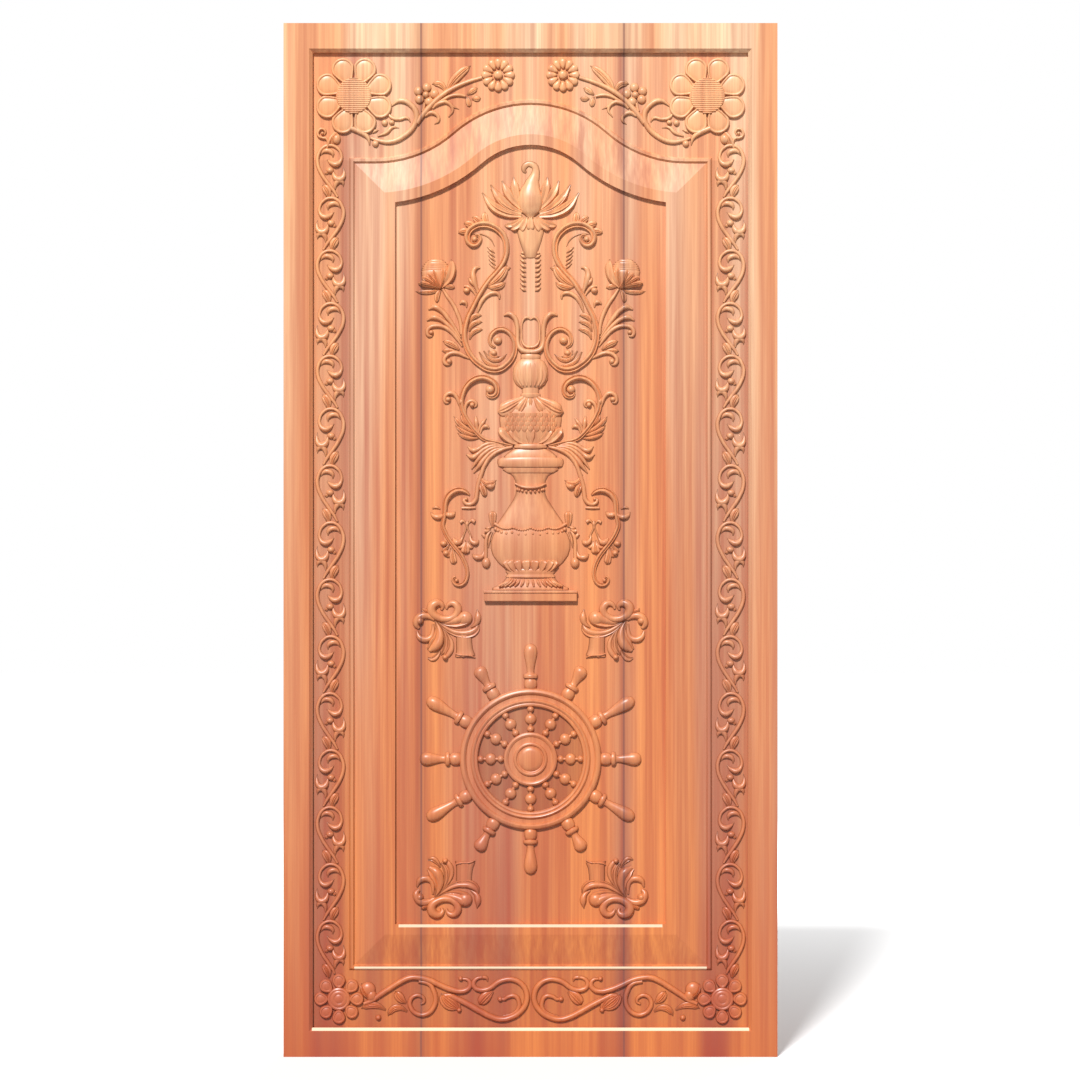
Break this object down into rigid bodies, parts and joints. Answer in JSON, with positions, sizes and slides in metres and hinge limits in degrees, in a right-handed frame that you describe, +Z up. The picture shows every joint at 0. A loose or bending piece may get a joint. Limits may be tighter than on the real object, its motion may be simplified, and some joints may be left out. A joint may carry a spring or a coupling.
{
  "type": "entry door",
  "caption": "Carved hardwood entry door in its own frame: arched raised panel with vase, wheel and scroll ornament, hinged to open inwards.",
  "frame": {"origin": "middle of the sill's underside", "axes": "+Z up along the door's height, front with the carving facing -Y, +X to the right as seen from the front"},
  "size_m": [0.988, 0.0725, 2.068],
  "materials": {
    "frame_wood": "satin",
    "board_wood": "satin",
    "carved_wood": "satin",
    "hinge_metal": "satin"
  },
  "bodies": {
    "frame": {"frame_sill": "frame_wood", "frame_head": "frame_wood", "jamb_hinge_side": "frame_wood", "jamb_closing_side": "frame_wood", "hinge_plates_on_jamb": "hinge_metal", "hinge_pins": "hinge_metal"},
    "leaf": {"border_scrolls_left": "carved_wood", "border_scrolls_right": "carved_wood", "corner_rosette_left": "carved_wood", "corner_rosette_right": "carved_wood", "corner_spray_left": "carved_wood", "corner_spray_right": "carved_wood", "crest_bird": "carved_wood", "finial_cone_and_sepals": "carved_wood", "foot_rosette_left": "carved_wood", "foot_rosette_right": "carved_wood", "foot_scroll_left": "carved_wood", "foot_scroll_right": "carved_wood", "hinge_plates_on_leaf": "hinge_metal", "leaf_board_left": "board_wood", "leaf_board_middle": "board_wood", "leaf_board_right": "board_wood", "leaf_cluster_lower_left": "carved_wood", "leaf_cluster_lower_right": "carved_wood", "leaf_cluster_upper_left": "carved_wood", "leaf_cluster_upper_right": "carved_wood", "lotus_petals_left": "carved_wood", "lotus_petals_right": "carved_wood", "lower_arm_left": "carved_wood", "lower_arm_right": "carved_wood", "lyre": "carved_wood", "middle_arm_left": "carved_wood", "middle_arm_right": "carved_wood", "rope_strings": "carved_wood", "upper_arm_left": "carved_wood", "upper_arm_right": "carved_wood", "urn": "carved_wood", "vase_bulb": "carved_wood", "wheel_grips": "carved_wood", "wheel_hub": "carved_wood", "wheel_rim": "carved_wood", "wheel_spokes": "carved_wood"}
  },
  "joints": [
    {"name": "leaf_hinge", "type": "hinge", "parent": "frame", "child": "leaf", "pos_m": [-0.4465, 0.0365, 0], "axis": [0, 0, 1], "range_deg": [0, 110]}
  ]
}
